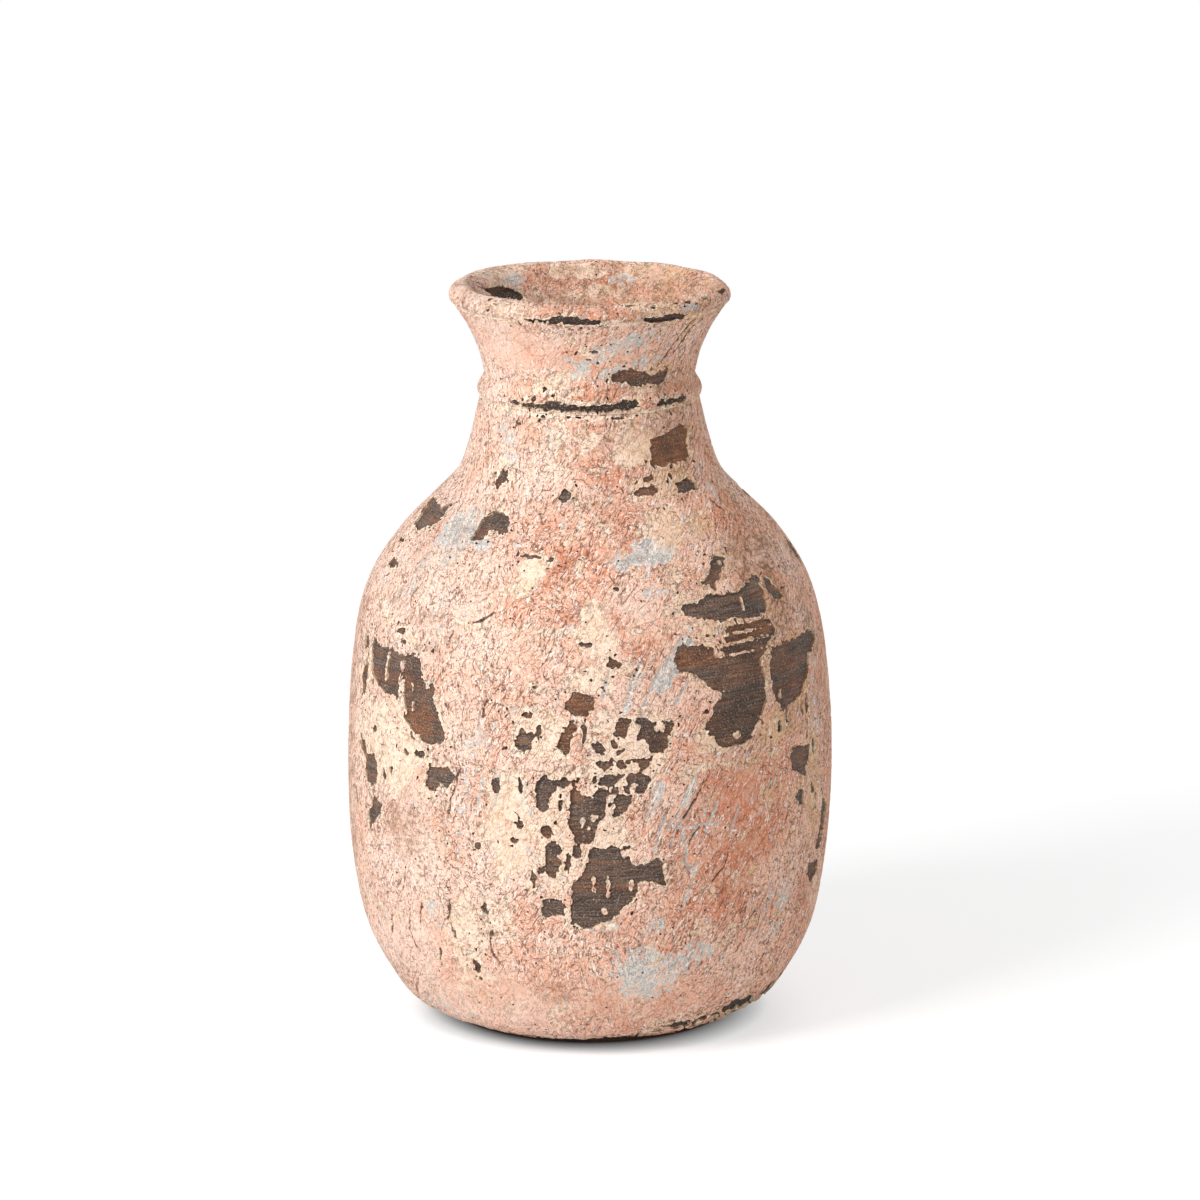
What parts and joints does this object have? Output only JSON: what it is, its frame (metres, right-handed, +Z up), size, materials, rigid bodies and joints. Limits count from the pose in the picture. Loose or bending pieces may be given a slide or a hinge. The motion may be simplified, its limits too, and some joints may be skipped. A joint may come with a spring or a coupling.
{
  "type": "painted wooden storage pot",
  "caption": "Tall turned wooden pot with a full belly, narrow ringed neck and flared mouth, under an old painted crust that has cracked and flaked away to bare wood.",
  "frame": {"origin": "centre of the flat base, on the surface that the pot stands on", "axes": "+Z up along the pot's turning axis; -Y towards the side with the pictured chips, +X to its right"},
  "size_m": [0.1965, 0.1963, 0.2999],
  "materials": {
    "bare_wood": "old dry turned wood, dull and darkened, with open grain",
    "old_paint": "matt mineral paint over a chalky cream ground, wrinkled, worn and flaking"
  },
  "bodies": {
    "root": {"turned_body": "bare_wood", "foot_paint": "old_paint", "lower_belly_paint": "old_paint", "belly_band_paint": "old_paint", "upper_belly_paint": "old_paint", "shoulder_paint": "old_paint", "collar_paint": "old_paint", "neck_ring_paint": "old_paint", "neck_paint": "old_paint", "rim_paint": "old_paint", "mouth_lining_paint": "old_paint"}
  },
  "joints": []
}
